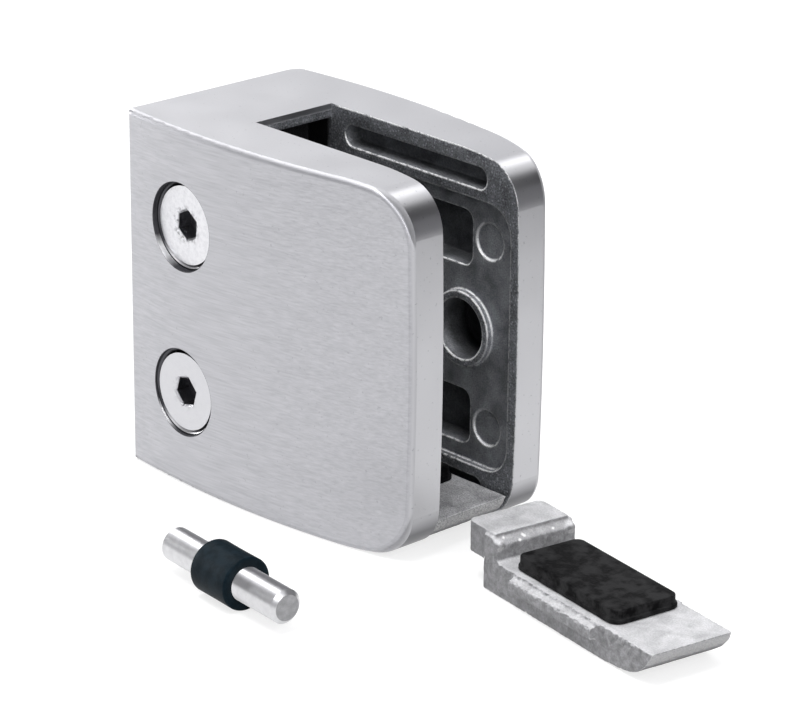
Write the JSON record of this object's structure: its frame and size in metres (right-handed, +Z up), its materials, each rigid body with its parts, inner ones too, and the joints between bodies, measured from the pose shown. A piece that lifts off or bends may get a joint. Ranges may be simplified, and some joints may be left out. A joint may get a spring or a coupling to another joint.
{
  "type": "glass clamp",
  "caption": "Post-mounted clamp for a railing's glass pane: cast base with a front jaw drawn on by countersunk screws, a hooked support plate, and a sleeved securing pin.",
  "frame": {"origin": "centre of the flat face that meets the post, on the axis of the post screw's hole", "axes": "+X out from the post along the glass, +Y through the glass towards the back jaw, +Z up"},
  "size_m": [0.1086, 0.061, 0.055],
  "materials": {
    "clamp_casting": "brushed outside, as cast inside",
    "screw_steel": "bright",
    "plate_casting": "as cast",
    "pad_rubber": "matt",
    "pin_steel": "polished",
    "sleeve_rubber": "satin"
  },
  "bodies": {
    "base": {"base_jaw": "clamp_casting", "support_plate": "plate_casting", "support_pad": "pad_rubber", "loose_pin": "pin_steel", "loose_pin_sleeve": "sleeve_rubber", "loose_support_plate": "plate_casting", "loose_support_pad": "pad_rubber"},
    "front_jaw": {"front_jaw": "clamp_casting"},
    "upper_screw": {"upper_screw": "screw_steel"},
    "lower_screw": {"lower_screw": "screw_steel"}
  },
  "joints": [
    {"name": "jaw_slide", "type": "slide", "parent": "base", "child": "front_jaw", "axis": [0, -1, 0], "range_m": [0, 0.009]},
    {"name": "upper_screw_turn", "type": "hinge", "parent": "front_jaw", "child": "upper_screw", "pos_m": [0.0128, -0.018, 0.0128], "axis": [0, -1, 0], "range_deg": [0, 3240]},
    {"name": "lower_screw_turn", "type": "hinge", "parent": "front_jaw", "child": "lower_screw", "pos_m": [0.0128, -0.018, -0.0128], "axis": [0, -1, 0], "range_deg": [0, 3240]}
  ],
  "couplings": [
    {"joint": "upper_screw_turn", "follows": "jaw_slide", "rad_per_m": 6283.2},
    {"joint": "lower_screw_turn", "follows": "jaw_slide", "rad_per_m": 6283.2}
  ]
}
